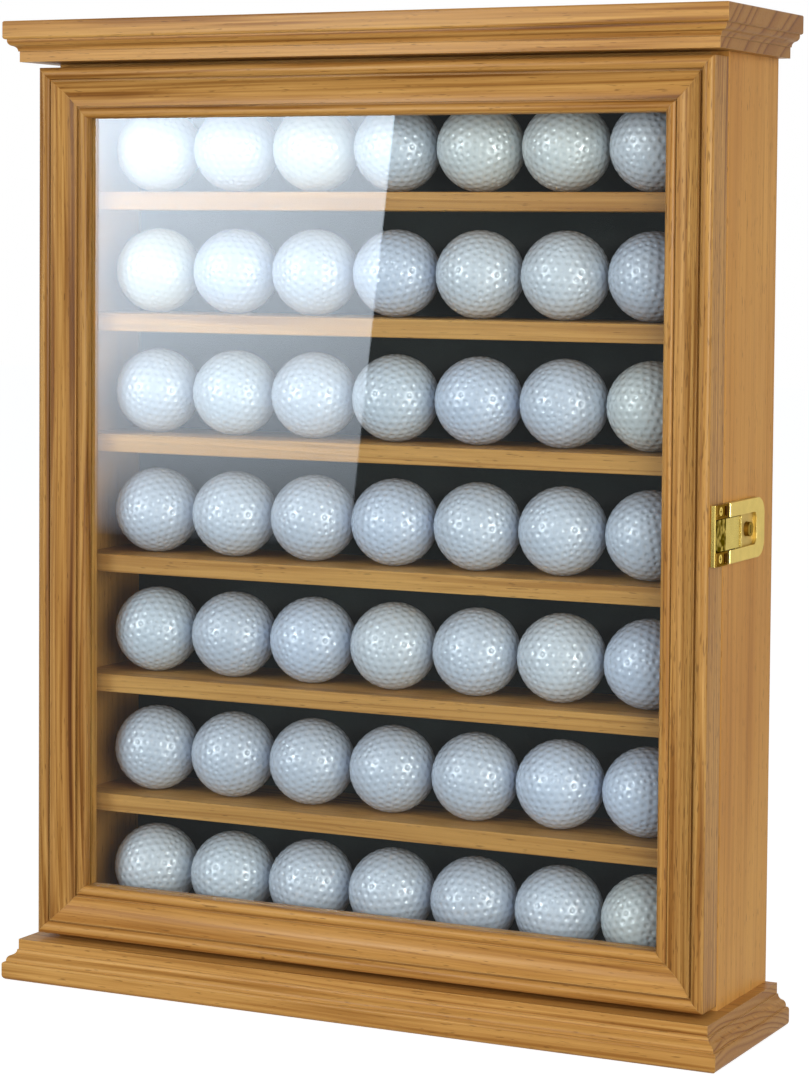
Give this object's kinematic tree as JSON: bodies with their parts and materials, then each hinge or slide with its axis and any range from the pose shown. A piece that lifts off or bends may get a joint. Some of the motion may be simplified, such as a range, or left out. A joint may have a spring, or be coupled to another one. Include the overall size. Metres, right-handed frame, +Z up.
{
  "type": "display case",
  "caption": "Wall-hung wooden display case with moulded crown and base, shelves of balls behind a hinged glass door and a keyed brass latch.",
  "frame": {"origin": "middle of the case's footprint on the plane that the base stands on", "axes": "+Z up, -Y towards the viewer in front of the door, +X to that viewer's right"},
  "size_m": [0.38, 0.1, 0.4785],
  "materials": {
    "pine": "honey varnish, satin",
    "plywood": "bare",
    "beech": "bare",
    "felt": "napped",
    "glass": "polished",
    "ball_cover": "gloss",
    "brass": "satin plated",
    "polished_brass": "polished"
  },
  "bodies": {
    "cabinet": {"crown_board": "pine", "base_board": "pine", "left_side_panel": "pine", "right_side_panel": "pine", "case_top_board": "pine", "case_bottom_board": "pine", "shelf_1": "pine", "shelf_2": "pine", "shelf_3": "pine", "shelf_4": "pine", "shelf_5": "pine", "shelf_6": "pine", "back_panel": "plywood", "carcass_dowels": "beech", "back_lining": "felt", "golf_balls_row_1": "ball_cover", "golf_balls_row_2": "ball_cover", "golf_balls_row_3": "ball_cover", "golf_balls_row_4": "ball_cover", "golf_balls_row_5": "ball_cover", "golf_balls_row_6": "ball_cover", "golf_balls_row_7": "ball_cover", "hinge_case_leaves": "brass", "hinge_pins": "brass", "hinge_case_screws": "brass", "latch_plate": "brass", "latch_plate_screws": "polished_brass", "latch_flap_pin": "polished_brass"},
    "door": {"door_bottom_rail": "pine", "door_top_rail": "pine", "door_left_stile": "pine", "door_right_stile": "pine", "glass_pane": "glass", "glass_bead_bottom": "pine", "glass_bead_top": "pine", "glass_bead_left": "pine", "glass_bead_right": "pine", "hinge_door_leaves": "brass", "hinge_door_screws": "brass", "latch_keeper": "polished_brass", "keeper_screws": "polished_brass"},
    "flap": {"latch_flap": "brass"},
    "lock": {"lock_cylinder": "polished_brass"}
  },
  "joints": [
    {"name": "door_hinge", "type": "hinge", "parent": "cabinet", "child": "door", "pos_m": [-0.1808, -0.01675, 0.23925], "axis": [0, 0, -1], "range_deg": [0, 170]},
    {"name": "flap_hinge", "type": "hinge", "parent": "cabinet", "child": "flap", "pos_m": [0.1793, -0.004, 0.24], "axis": [0, 0, 1], "range_deg": [0, 100]},
    {"name": "key_turn", "type": "hinge", "parent": "cabinet", "child": "lock", "pos_m": [0.1814, 0.011, 0.24], "axis": [1, 0, 0], "range_deg": [0, 90]}
  ]
}
